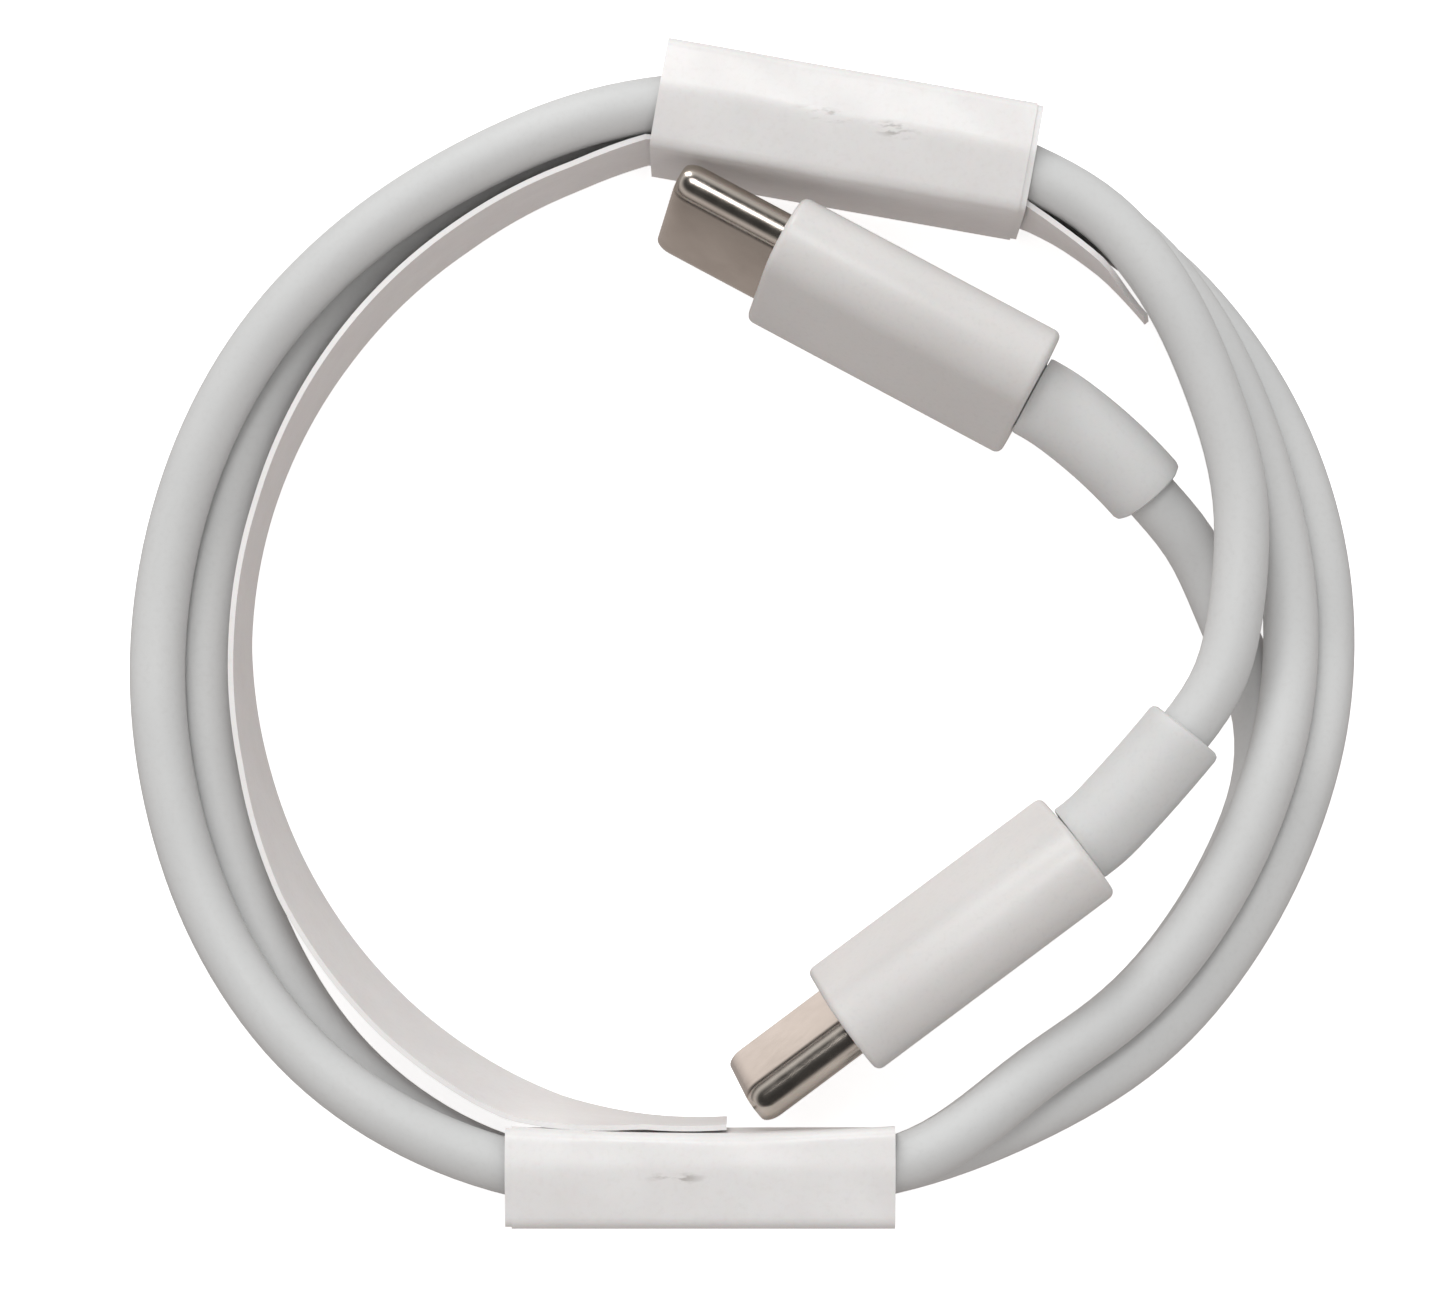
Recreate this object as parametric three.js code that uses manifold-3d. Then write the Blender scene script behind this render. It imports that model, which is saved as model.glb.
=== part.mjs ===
// A coiled charging cable with a reversible plug on each end, held in shape by a paper wrap.
// Millimetres, +Z up. The origin is on the surface the cable lies on, below the middle of the plugs and wrap.
import * as THREE from "three";
import { mergeVertices } from "three/addons/utils/BufferGeometryUtils.js";
import Module from "manifold-3d";

const wasm = await Module();
wasm.setup();

// ---------- driving dimensions ----------

const gap = 0.3; // between the cord's solids and what they meet
const innerGap = 0.08; // between the pieces inside a plug
const coilCentre = new THREE.Vector2(1.4, -0.2); // the middle of the ring, seen from above

const cord = {
  diameter: 3.1,
  sides: 8,
  floorHeight: 1.95, // the centre of a turn that lies on the surface, clear of the paper
};

// The ring's outermost turn: its radius every 15 degrees, clockwise from +X as seen from above.
const ringRadii = [
  33.0, 32.5, 32.2, 31.9, 31.0, 30.6, 30.4, 31.5, 32.9, 33.8, 33.8, 33.4,
  33.0, 32.5, 31.9, 31.1, 30.5, 30.4, 30.1, 29.9, 30.5, 31.9, 32.6, 33.0,
];
const coil = {
  turns: 3,
  stations: 72,
  chamfer: 0.28, // of the section, as a share of its width and height
  leftInset: 2.4, // how far the middle turn lies inside the others on the left
  left: [108, 160, 180, 248], // degrees over which that inset grows and fades
  rightInset: 2.3, // the same for the turns that cross on the right
  right: [-58, -10, 52, 75],
  slip: [0, 14], // degrees over which the first turn slips in under the others
  lastAngle: 302, // where the last turn leaves it
};

// The two ends of the cord, from behind each strain relief to the ring, relative to the ring's middle.
const tailA = [
  [25.2, 5.9, 2.8],
  [26.0, 4.2, 2.25],
  [26.8, 2.3, 1.98],
  [27.7, 0.1, 1.95],
  [28.6, -2.1, 1.95],
  [29.25, -4.3, 1.95],
];
const tailB = [
  [26.3, -2.9, 7.1],
  [26.95, -0.7, 6.95],
  [27.4, 1.8, 6.8],
  [27.65, 4.6, 6.75],
  [27.7, 7.4, 6.85],
  [27.1, 10.6, 7.1],
  [26.0, 13.8, 7.5],
  [24.3, 17.8, 8.0],
  [22.0, 21.4, 8.2],
  [19.2, 24.2, 8.15],
];
const tailSteps = { a: 6, b: 16 };

const paper = 0.3; // thickness of the wrap
const sleeve = { length: 21.3, height: 10.1, corner: 1.5 };
const sleeveTop = { width: 6.15, distance: 28.9, shift: 0.45, turn: -10.2 };
const sleeveBottom = { width: 5.6, distance: 30.1, shift: 2.6, turn: 180 };

// The paper strip inside the ring: degrees, then the radius at its bottom and at its top edge.
const strip = {
  bottom: 1.2,
  top: 8.6,
  steps: 48,
  stations: [
    [92.4, 26.85, 27.05],
    [102, 27.3, 27.6],
    [112, 27.7, 29.1],
    [116, 27.75, 29.9],
    [120, 27.8, 30.0],
    [132, 27.9, 30.0],
    [150, 28.0, 29.7],
    [165, 28.1, 29.0],
    [180, 28.3, 28.6],
    [195, 28.2, 28.3],
    [215, 28.0, 28.2],
    [235, 27.9, 28.1],
    [250, 28.1, 28.1],
    [258.5, 28.45, 28.45],
    [264.5, 27.5, 27.5],
    [270.5, 26.85, 26.85],
    [280, 26.4, 26.4],
    [290, 26.8, 26.8],
    [296, 27.6, 27.6],
    [302, 28.75, 28.75],
    [304.5, 28.95, 28.75],
    [308, 29.1, 28.4],
    [314, 29.3, 28.4],
    [321, 29.4, 28.7],
  ],
};

const housing = {
  length: 16.4,
  width: 10.4,
  height: 5.2,
  cavityWidth: 8.8,
  cavityHeight: 4.0,
  endWall: 1.4,
  bevel: 0.45,
};
const relief = {
  length: 8.8,
  diameter: 4.7,
  neckDiameter: 3.8,
  neckLength: 1.2,
  bore: 3.3,
  rim: 0.25,
  kink: [0.3, 2.5], // where it turns most, behind the housing
  stations: [0.4, 1.1, 1.8, 2.5, 3.9, 5.3, 6.7],
};
const jointReach = cord.diameter / 2 + gap; // from a strain relief's end to the point it swings about
const shell = {
  width: 8.25,
  height: 2.4,
  wall: 0.17,
  exposed: 6.65,
  buried: 4.0,
};
const insulator = {
  width: 7.7,
  height: 1.6,
  length: 6.3,
  setBack: 0.5,
  slotWidth: 6.7,
  slotHeight: 0.96,
};
const contact = {
  count: 12,
  pitch: 0.5,
  width: 0.25,
  thickness: 0.1,
  length: 6.6,
  clearOfMiddle: 0.33,
  barLength: 1.2,
  barHeight: 0.3,
};
const latch = { length: 5.6, width: 0.2, height: 0.8 };
const groundSpring = { length: 2.4, width: 4.6, thickness: 0.1 };
const card = { length: 8.4, width: 6.2, thickness: 0.4 };
const chip = { length: 1.8, width: 1.8, height: 0.5, fromCardStart: 2.8 };
const can = { length: 7.8, width: 8.5, height: 3.7, wall: 0.15, seam: 0.1 };
const crimp = { length: 1.6, inner: 3.24, outer: 3.8 };
const stub = { reach: 2.6 }; // how far the cord's end runs into the housing
const wire = {
  diameter: 0.5,
  spread: 1.1,
  radius: 0.9,
  length: 1.5,
  padInset: 0.2, // from the card's end to where the straight end of a wire begins
  startAngles: [180, 252, 108, 324, 36],
};

// Where each plug lies: the centre of its housing's rear face, then degrees of turn, pitch and roll.
// Its strain relief turns level and downwards by the given degrees, kinkShare of it close to the housing.
const plugA = {
  rear: [16.0, 13.8, 5.2],
  yaw: 151.6,
  pitch: 0,
  roll: -71,
  turnLevel: 18.5,
  turnDown: 15,
  kinkShare: 0.2,
};
const plugB = {
  rear: [18.4, -11.7, 6.3],
  yaw: 216.6,
  pitch: 4,
  roll: 71,
  turnLevel: -14,
  turnDown: -2,
  kinkShare: 0.6,
};

const white = 0xe8e8e6;
const materials = {
  jacket: new THREE.MeshStandardMaterial({ color: 0xd9dcdc, roughness: 0.55 }),
  housing: new THREE.MeshStandardMaterial({ color: white, roughness: 0.32 }),
  relief: new THREE.MeshStandardMaterial({ color: 0xdfe0df, roughness: 0.5 }),
  metal: new THREE.MeshStandardMaterial({ color: 0xb5aaa0, roughness: 0.3, metalness: 1 }),
  gold: new THREE.MeshStandardMaterial({ color: 0xd8b25a, roughness: 0.3, metalness: 1 }),
  insulator: new THREE.MeshStandardMaterial({ color: 0x1d1d1f, roughness: 0.5 }),
  board: new THREE.MeshStandardMaterial({ color: 0x1f5a3a, roughness: 0.6 }),
  chip: new THREE.MeshStandardMaterial({ color: 0x151515, roughness: 0.5 }),
  paper: new THREE.MeshStandardMaterial({ color: 0xefecea, roughness: 0.35 }),
};
const wireColors = {
  power: 0xc23b2e,
  ground: 0x202020,
  data_plus: 0x2f8a4a,
  data_minus: 0xe6e6e6,
  configuration: 0x2f5fb0,
};

// ---------- small tools ----------

const radians = THREE.MathUtils.degToRad;
const smoothstep = THREE.MathUtils.smoothstep;

// A piece of geometry as a solid that can be joined and cut.
function solidOf(geometry) {
  const bare = geometry.clone();
  bare.deleteAttribute("normal");
  bare.deleteAttribute("uv");
  const merged = mergeVertices(bare, 1e-4);
  return new wasm.Manifold(
    new wasm.Mesh({
      numProp: 3,
      vertProperties: merged.attributes.position.array,
      triVerts: new Uint32Array(merged.index.array),
    }),
  );
}

function geometryOf(solid) {
  const mesh = solid.getMesh();
  const geometry = new THREE.BufferGeometry();
  geometry.setAttribute("position", new THREE.BufferAttribute(mesh.vertProperties, 3));
  geometry.setIndex(new THREE.BufferAttribute(mesh.triVerts, 1));
  geometry.computeVertexNormals();
  return geometry;
}

function join(first, ...others) {
  return geometryOf(others.reduce((sum, other) => sum.add(solidOf(other)), solidOf(first)));
}

function cut(first, ...others) {
  return geometryOf(others.reduce((rest, other) => rest.subtract(solidOf(other)), solidOf(first)));
}

// A rectangle with round corners.
function roundedRectangle(target, width, height, corner) {
  const x = width / 2 - corner;
  const y = height / 2 - corner;
  target.moveTo(x, -height / 2);
  target.absarc(x, -y, corner, -Math.PI / 2, 0, false);
  target.absarc(x, y, corner, 0, Math.PI / 2, false);
  target.absarc(-x, y, corner, Math.PI / 2, Math.PI, false);
  target.absarc(-x, -y, corner, Math.PI, 1.5 * Math.PI, false);
  return target;
}

// Two straight sides joined by half circles, drawn on a shape or on a hole.
function stadium(width, height, target = new THREE.Shape()) {
  const radius = height / 2;
  const x = width / 2 - radius;
  target.absarc(x, 0, radius, -Math.PI / 2, Math.PI / 2, false);
  target.absarc(-x, 0, radius, Math.PI / 2, 1.5 * Math.PI, false);
  return target;
}

// A plain prism along +X from start, whose section's own axes are Y and Z.
function prism(shape, start, length, bevel = 0) {
  const geometry = new THREE.ExtrudeGeometry(shape, {
    depth: length - 2 * bevel,
    curveSegments: 6,
    bevelEnabled: bevel > 0,
    bevelThickness: bevel,
    bevelSize: bevel,
    bevelOffset: -bevel,
    bevelSegments: 2,
  });
  geometry.translate(0, 0, bevel + start);
  const turn = new THREE.Matrix4().makeBasis(
    new THREE.Vector3(0, 1, 0),
    new THREE.Vector3(0, 0, 1),
    new THREE.Vector3(1, 0, 0),
  );
  return geometry.applyMatrix4(turn);
}

// A block between two values of X, centred on the given Y and Z.
function block(start, length, width, height, y = 0, z = 0) {
  return new THREE.BoxGeometry(length, width, height).translate(start + length / 2, y, z);
}

// A round tube along X made from the closed outline of its half section, as [x, radius] points.
function turned(outline, segments = 20) {
  const points = [...outline, outline[0]].map(([x, radius]) => new THREE.Vector2(radius, x));
  const geometry = new THREE.LatheGeometry(points, segments);
  return geometry.rotateZ(-Math.PI / 2);
}

function circle(diameter, sides) {
  const shape = new THREE.Shape();
  for (let i = 0; i < sides; i += 1) {
    const angle = (2 * Math.PI * i) / sides;
    const point = [(diameter / 2) * Math.cos(angle), (diameter / 2) * Math.sin(angle)];
    if (i === 0) shape.moveTo(...point);
    else shape.lineTo(...point);
  }
  shape.closePath();
  return shape;
}

function tubeAlong(points, diameter, sides, steps) {
  const path = new THREE.CatmullRomCurve3(points.map((p) => new THREE.Vector3(...p)), false, "centripetal");
  return new THREE.ExtrudeGeometry(circle(diameter, sides), { steps, extrudePath: path });
}

function piece(name, geometry, material) {
  const mesh = new THREE.Mesh(geometry, material);
  mesh.name = name;
  return mesh;
}

// ---------- the cord ----------

// 0 outside the four angles, 1 between the middle two.
function bump(angle, [start, full, fading, end]) {
  return smoothstep(angle, start, full) * (1 - smoothstep(angle, fading, end));
}

// The list is closed, so it is read as a smooth curve that runs round and round.
function ringRadius(angle) {
  const step = 360 / ringRadii.length;
  const place = (((angle % 360) + 360) % 360) / step;
  const at = Math.floor(place);
  const [before, here, next, after] = [-1, 0, 1, 2].map(
    (k) => ringRadii[(at + k + ringRadii.length) % ringRadii.length],
  );
  const t = place - at;
  const slopeHere = (next - before) / 2;
  const slopeNext = (after - here) / 2;
  const change = next - here;
  const square = 3 * change - 2 * slopeHere - slopeNext;
  const cube = slopeHere + slopeNext - 2 * change;
  return here + t * (slopeHere + t * (square + t * cube));
}

// How far a turn lies inside the ring's outline.
function inset(turn, angle) {
  if (turn === 1) {
    return coil.leftInset * bump(angle, coil.left) + coil.rightInset * bump(angle - 360, coil.right);
  }
  return coil.rightInset * bump(angle, coil.right);
}

// How far a turn rises when it rests on one that lies the given distance to its side.
function rise(offset) {
  return Math.sqrt(Math.max(0, cord.diameter ** 2 - offset ** 2));
}

// The first turn lies on the surface, and each of the others rests on the one below it.
function turnHeight(turn, angle) {
  if (turn === 0) return cord.floorHeight;
  const climb = turn === 1 ? smoothstep(angle, ...coil.slip) : 1;
  return turnHeight(turn - 1, angle) + climb * rise(inset(turn, angle) - inset(turn - 1, angle));
}

function turnsAt(angle) {
  const count = angle < coil.lastAngle ? coil.turns : coil.turns - 1;
  const turns = Array.from({ length: count }, (_, turn) => turn);
  return turns.filter((turn) => turn > 0 || angle > coil.slip[1]);
}

// The ring's own section at an angle: the box round its turns.
function ringSection(angle) {
  const turns = turnsAt(angle);
  const radii = turns.map((turn) => ringRadius(angle) - inset(turn, angle));
  const heights = turns.map((turn) => turnHeight(turn, angle));
  const half = cord.diameter / 2;
  const clear = angle < coil.lastAngle ? 0 : gap;
  return {
    inner: Math.min(...radii) - half,
    outer: Math.max(...radii) + half,
    low: cord.floorHeight - half,
    high: Math.max(...heights) + half - clear,
  };
}

// The outer shape of the coil: a ring whose chamfered section follows its turns.
function coilGeometry() {
  const c = coil.chamfer;
  const outline = [
    [0, c], [c, 0], [1 - c, 0], [1, c], [1, 1 - c], [1 - c, 1], [c, 1], [0, 1 - c], [0, c],
  ];
  const points = outline.map(([across, up]) => new THREE.Vector2(1 + across, up));
  const geometry = new THREE.LatheGeometry(points, coil.stations);
  const position = geometry.attributes.position;
  for (let i = 0; i < position.count; i += 1) {
    const [x, up, z] = [position.getX(i), position.getY(i), position.getZ(i)];
    const across = Math.hypot(x, z) - 1;
    const station = Math.round((THREE.MathUtils.radToDeg(Math.atan2(z, x)) * coil.stations) / 360);
    const angle = ((station * 360) / coil.stations + 360) % 360;
    const section = ringSection(angle);
    const radius = THREE.MathUtils.lerp(section.inner, section.outer, across);
    const height = THREE.MathUtils.lerp(section.low, section.high, up);
    position.setXYZ(i, radius * Math.cos(radians(angle)), -radius * Math.sin(radians(angle)), height);
  }
  return geometry;
}

// A tail starts in a ball round the point about which its plug swings.
function tailGeometry(plug, points, steps, extra = 0) {
  const joint = jointPoint(plug).toArray();
  const diameter = cord.diameter + 2 * extra;
  const ball = new THREE.SphereGeometry(diameter / 2, 2 * cord.sides, cord.sides).translate(...joint);
  return join(tubeAlong([joint, ...points], diameter, cord.sides, steps), ball);
}

function cordPieces() {
  const group = new THREE.Group();
  const room = tailGeometry(plugA, tailA, tailSteps.a, gap);
  group.add(
    piece("cord_coil", cut(coilGeometry(), room), materials.jacket),
    piece("cord_tail_a", tailGeometry(plugA, tailA, tailSteps.a), materials.jacket),
    piece("cord_tail_b", tailGeometry(plugB, tailB, tailSteps.b), materials.jacket),
  );
  return group;
}

// ---------- the paper wrap ----------

function sleeveGeometry(width) {
  const section = roundedRectangle(new THREE.Shape(), width, sleeve.height, sleeve.corner);
  const hole = roundedRectangle(
    new THREE.Path(),
    width - 2 * paper,
    sleeve.height - 2 * paper,
    sleeve.corner - paper,
  );
  section.holes.push(hole);
  return prism(section, -sleeve.length / 2, sleeve.length);
}

// A sleeve round the turns, square to the line from the ring's middle.
function sleevePiece(name, place) {
  const mesh = piece(name, sleeveGeometry(place.width), materials.paper);
  const turn = radians(place.turn);
  mesh.rotation.z = turn;
  mesh.position.set(
    place.shift * Math.cos(turn) - place.distance * Math.sin(turn),
    place.shift * Math.sin(turn) + place.distance * Math.cos(turn),
    sleeve.height / 2,
  );
  return mesh;
}

function stripRadii(angle) {
  const list = strip.stations;
  const next = Math.max(1, list.findIndex(([at]) => at >= angle));
  const [low, high] = [list[next - 1], list[next]];
  const t = (angle - low[0]) / (high[0] - low[0]);
  return [THREE.MathUtils.lerp(low[1], high[1], t), THREE.MathUtils.lerp(low[2], high[2], t)];
}

// A thin band that stands inside the ring and leans where the list says.
function stripGeometry() {
  const geometry = new THREE.BoxGeometry(1, 1, 1, strip.steps, 1, 1);
  const position = geometry.attributes.position;
  const first = strip.stations[0][0];
  const last = strip.stations.at(-1)[0];
  for (let i = 0; i < position.count; i += 1) {
    const angle = THREE.MathUtils.lerp(first, last, position.getX(i) + 0.5);
    const up = position.getZ(i) + 0.5;
    const [bottom, top] = stripRadii(Math.min(Math.max(angle, first), last));
    const radius = THREE.MathUtils.lerp(bottom, top, up) + position.getY(i) * paper;
    const height = THREE.MathUtils.lerp(strip.bottom, strip.top, up);
    position.setXYZ(i, radius * Math.cos(radians(angle)), -radius * Math.sin(radians(angle)), height);
  }
  return geometry;
}

function wrapPieces() {
  const group = new THREE.Group();
  group.add(
    piece("wrap_strip", stripGeometry(), materials.paper),
    sleevePiece("wrap_sleeve_top", sleeveTop),
    sleevePiece("wrap_sleeve_bottom", sleeveBottom),
  );
  return group;
}

// ---------- a plug ----------
// In a plug's own frame +X runs to the tip, Z is square to its wide faces, and X = 0 is its rear face.

const tip = housing.length + shell.exposed;

function housingGeometry() {
  const body = prism(stadium(housing.width, housing.height), 0, housing.length, housing.bevel);
  const cavity = prism(
    stadium(housing.cavityWidth, housing.cavityHeight),
    housing.endWall,
    housing.length - 2 * housing.endWall,
  );
  const mouth = prism(
    stadium(shell.width + 2 * innerGap, shell.height + 2 * innerGap),
    housing.length - 2 * housing.endWall,
    3 * housing.endWall,
  );
  const rearHole = prism(
    circle(relief.neckDiameter + 2 * innerGap, 20),
    -housing.endWall,
    3 * housing.endWall,
  );
  return cut(body, cavity, mouth, rearHole);
}

function shellGeometry() {
  const section = stadium(shell.width, shell.height);
  const inside = [shell.width - 2 * shell.wall, shell.height - 2 * shell.wall];
  section.holes.push(stadium(...inside, new THREE.Path()));
  return prism(section, housing.length - shell.buried, shell.buried + shell.exposed);
}

function insulatorGeometry() {
  const start = tip - insulator.setBack - insulator.length;
  const section = stadium(insulator.width, insulator.height);
  const slot = new THREE.Path();
  const [x, y] = [insulator.slotWidth / 2, insulator.slotHeight / 2];
  slot.moveTo(-x, -y).lineTo(-x, y).lineTo(x, y).lineTo(x, -y).closePath();
  section.holes.push(slot);
  return prism(section, start, insulator.length);
}

// Twelve fingers that share a moulded bar behind them; side is +1 for the upper row.
function contactRowGeometry(side) {
  const start = tip - insulator.setBack - contact.length;
  const root = start - contact.barLength / 2;
  const length = contact.length + contact.barLength / 2 - gap;
  const rowWidth = contact.count * contact.pitch;
  const barZ = side * (contact.clearOfMiddle + contact.barHeight / 2);
  const fingerZ = side * (contact.clearOfMiddle + contact.thickness / 2);
  const bar = block(start - contact.barLength, contact.barLength, rowWidth, contact.barHeight, 0, barZ);
  const fingers = Array.from({ length: contact.count }, (_, i) => {
    const y = (i - (contact.count - 1) / 2) * contact.pitch;
    return block(root, length, contact.width, contact.thickness, y, fingerZ);
  });
  return join(bar, ...fingers);
}

function latchGeometry(side) {
  const start = tip - insulator.setBack - latch.length - gap;
  const y = side * (insulator.slotWidth / 2 - innerGap - latch.width / 2);
  return block(start, latch.length, latch.width, latch.height, y);
}

function groundSpringGeometry(side) {
  const z = side * (insulator.height / 2 + innerGap / 2 + groundSpring.thickness / 2);
  const start = tip - insulator.setBack - groundSpring.length - gap;
  return block(start, groundSpring.length, groundSpring.width, groundSpring.thickness, 0, z);
}

const cardStart = tip - insulator.setBack - contact.length - card.length;

function cardGeometry() {
  return block(cardStart, card.length, card.width, card.thickness);
}

function chipGeometry() {
  const z = card.thickness / 2 + innerGap + chip.height / 2;
  return block(cardStart + chip.fromCardStart, chip.length, chip.width, chip.height, 0, z);
}

// One half of the shield round the card: a bent sheet open towards the other half.
function canGeometry(side) {
  const start = housing.endWall + relief.neckLength + crimp.length + innerGap;
  const outer = prism(stadium(can.width, can.height), start, can.length);
  const inside = stadium(can.width - 2 * can.wall, can.height - 2 * can.wall);
  const inner = prism(inside, 0, housing.length);
  const otherZ = side * (can.seam - housing.height / 2);
  const otherHalf = block(0, housing.length, housing.width, housing.height, 0, otherZ);
  return cut(outer, inner, otherHalf);
}

function crimpGeometry() {
  const start = housing.endWall + relief.neckLength;
  const [inner, outer] = [crimp.inner / 2, crimp.outer / 2];
  return turned([
    [start, inner],
    [start, outer],
    [start + crimp.length, outer],
    [start + crimp.length, inner],
  ]);
}

// The strain relief's middle line behind the housing, as its place and its two side directions.
function reliefLine(distance, plug) {
  const steps = 24;
  const total = radians(Math.hypot(plug.turnLevel, plug.turnDown));
  const side = new THREE.Vector3(0, plug.turnLevel, -plug.turnDown).normalize();
  const turnedBy = (along) => {
    const kink = smoothstep(along, ...relief.kink);
    return total * THREE.MathUtils.lerp(along / relief.length, kink, plug.kinkShare);
  };
  const place = new THREE.Vector3();
  for (let i = 0; i < steps; i += 1) {
    const angle = turnedBy(((i + 0.5) * distance) / steps);
    place.x -= (Math.cos(angle) * distance) / steps;
    place.addScaledVector(side, (Math.sin(angle) * distance) / steps);
  }
  const angle = turnedBy(distance);
  const back = new THREE.Vector3(-Math.cos(angle), 0, 0).addScaledVector(side, Math.sin(angle));
  const inPlane = new THREE.Vector3(Math.sin(angle), 0, 0).addScaledVector(side, Math.cos(angle));
  return { place, back, inPlane, side };
}

function plugTurn(plug) {
  return new THREE.Euler(0, radians(plug.pitch), radians(plug.yaw), "ZYX");
}

// The point in the cord, just behind the strain relief's free end, about which the plug can swing.
function jointPoint(plug) {
  const { place, back } = reliefLine(relief.length, plug);
  const point = place.addScaledVector(back, jointReach);
  return point.applyEuler(plugTurn(plug)).add(new THREE.Vector3(...plug.rear));
}

// Bends what lies behind the housing along the strain relief's line.
function bendBehind(geometry, plug) {
  const position = geometry.attributes.position;
  for (let i = 0; i < position.count; i += 1) {
    if (position.getX(i) >= 0) continue;
    const { place, inPlane, side } = reliefLine(-position.getX(i), plug);
    const offset = new THREE.Vector3(0, position.getY(i), position.getZ(i));
    const across = offset.dot(side);
    offset.addScaledVector(side, -across).addScaledVector(inPlane, across).add(place);
    position.setXYZ(i, offset.x, offset.y, offset.z);
  }
  return geometry;
}

function reliefGeometry(plug) {
  const [bore, body, neck] = [relief.bore / 2, relief.diameter / 2, relief.neckDiameter / 2];
  const bends = relief.stations.map((distance) => -distance);
  const outline = [
    [relief.neckLength, bore],
    [relief.neckLength, neck],
    [-innerGap, neck],
    [-innerGap, body],
    ...bends.map((x) => [x, body]),
    [-relief.length + relief.rim, body],
    [-relief.length, body - relief.rim],
    [-relief.length, bore],
    ...bends.toReversed().map((x) => [x, bore]),
    [-innerGap, bore],
  ];
  return bendBehind(turned(outline.toReversed()), plug);
}

// The cord's own end, inside the strain relief and the crimp.
function stubGeometry(plug) {
  const half = cord.diameter / 2;
  const end = housing.endWall + stub.reach;
  const bends = relief.stations.map((distance) => [-distance, half]).toReversed();
  const points = [[-relief.length, 0], [-relief.length, half], ...bends, [end, half], [end, 0]];
  const outline = points.map(([x, radius]) => new THREE.Vector2(radius, x));
  const geometry = new THREE.LatheGeometry(outline, 16).rotateZ(-Math.PI / 2);
  return bendBehind(geometry, plug);
}

// Five wires fan out from the cord's end to the card, alternately above and below it.
function wireGeometry(index) {
  const start = housing.endWall + stub.reach + innerGap;
  const angle = radians(wire.startAngles[index]);
  const from = [start, wire.radius * Math.cos(angle), wire.radius * Math.sin(angle)];
  const side = index % 2 === 0 ? 1 : -1;
  const y = (index - 2) * wire.spread;
  const z = side * (card.thickness / 2 + innerGap + wire.diameter / 2);
  const turn = [start + wire.length / 2, (from[1] + y) / 2, (from[2] + z) / 2];
  const pad = cardStart + wire.padInset;
  return tubeAlong([from, turn, [pad, y, z], [pad + wire.length, y, z]], wire.diameter, 6, 6);
}

function plugPieces(end, plug) {
  const rolled = new THREE.Group();
  rolled.rotation.x = radians(plug.roll);
  rolled.add(
    piece(`housing_${end}`, housingGeometry(), materials.housing),
    piece(`plug_shell_${end}`, shellGeometry(), materials.metal),
    piece(`insulator_${end}`, insulatorGeometry(), materials.insulator),
    piece(`contact_row_upper_${end}`, contactRowGeometry(1), materials.gold),
    piece(`contact_row_lower_${end}`, contactRowGeometry(-1), materials.gold),
    piece(`side_latch_left_${end}`, latchGeometry(1), materials.metal),
    piece(`side_latch_right_${end}`, latchGeometry(-1), materials.metal),
    piece(`ground_spring_upper_${end}`, groundSpringGeometry(1), materials.metal),
    piece(`ground_spring_lower_${end}`, groundSpringGeometry(-1), materials.metal),
    piece(`paddle_card_${end}`, cardGeometry(), materials.board),
    piece(`control_chip_${end}`, chipGeometry(), materials.chip),
    piece(`shield_can_upper_${end}`, canGeometry(1), materials.metal),
    piece(`shield_can_lower_${end}`, canGeometry(-1), materials.metal),
    piece(`crimp_ring_${end}`, crimpGeometry(), materials.metal),
  );
  Object.entries(wireColors).forEach(([role, color], index) => {
    const material = new THREE.MeshStandardMaterial({ color, roughness: 0.5 });
    rolled.add(piece(`wire_${role}_${end}`, wireGeometry(index), material));
  });
  const whole = new THREE.Group();
  whole.rotation.copy(plugTurn(plug));
  whole.position.set(...plug.rear);
  whole.add(
    rolled,
    piece(`strain_relief_${end}`, reliefGeometry(plug), materials.relief),
    piece(`cord_end_${end}`, stubGeometry(plug), materials.jacket),
  );
  return whole;
}

// ---------- the whole cable ----------

const cable = new THREE.Group();
cable.position.set(coilCentre.x, coilCentre.y, 0);
cable.add(cordPieces(), wrapPieces(), plugPieces("a", plugA), plugPieces("b", plugB));

export default cable;
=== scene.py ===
"""A coiled charging cable in a paper wrap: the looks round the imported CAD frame, in metres."""

import math

import bmesh
import bpy
from mathutils import Matrix, Vector


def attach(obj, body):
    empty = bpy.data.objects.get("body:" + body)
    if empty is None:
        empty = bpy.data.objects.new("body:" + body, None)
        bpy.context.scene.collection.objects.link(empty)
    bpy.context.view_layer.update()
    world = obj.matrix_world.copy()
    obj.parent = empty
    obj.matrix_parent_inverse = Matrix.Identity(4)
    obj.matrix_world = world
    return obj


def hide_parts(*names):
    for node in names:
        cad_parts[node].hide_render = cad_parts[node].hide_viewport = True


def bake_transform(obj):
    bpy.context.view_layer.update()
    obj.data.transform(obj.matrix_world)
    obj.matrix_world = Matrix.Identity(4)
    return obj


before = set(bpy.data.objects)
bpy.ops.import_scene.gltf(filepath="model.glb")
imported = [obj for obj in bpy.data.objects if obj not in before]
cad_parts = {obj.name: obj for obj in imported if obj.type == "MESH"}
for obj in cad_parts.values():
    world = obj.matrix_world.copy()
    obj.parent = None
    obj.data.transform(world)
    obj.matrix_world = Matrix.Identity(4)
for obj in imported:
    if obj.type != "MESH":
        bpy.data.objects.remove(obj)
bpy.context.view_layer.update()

MM = 0.001

# ---------- driving dimensions, in millimetres where a name doesn't say otherwise ----------

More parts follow.
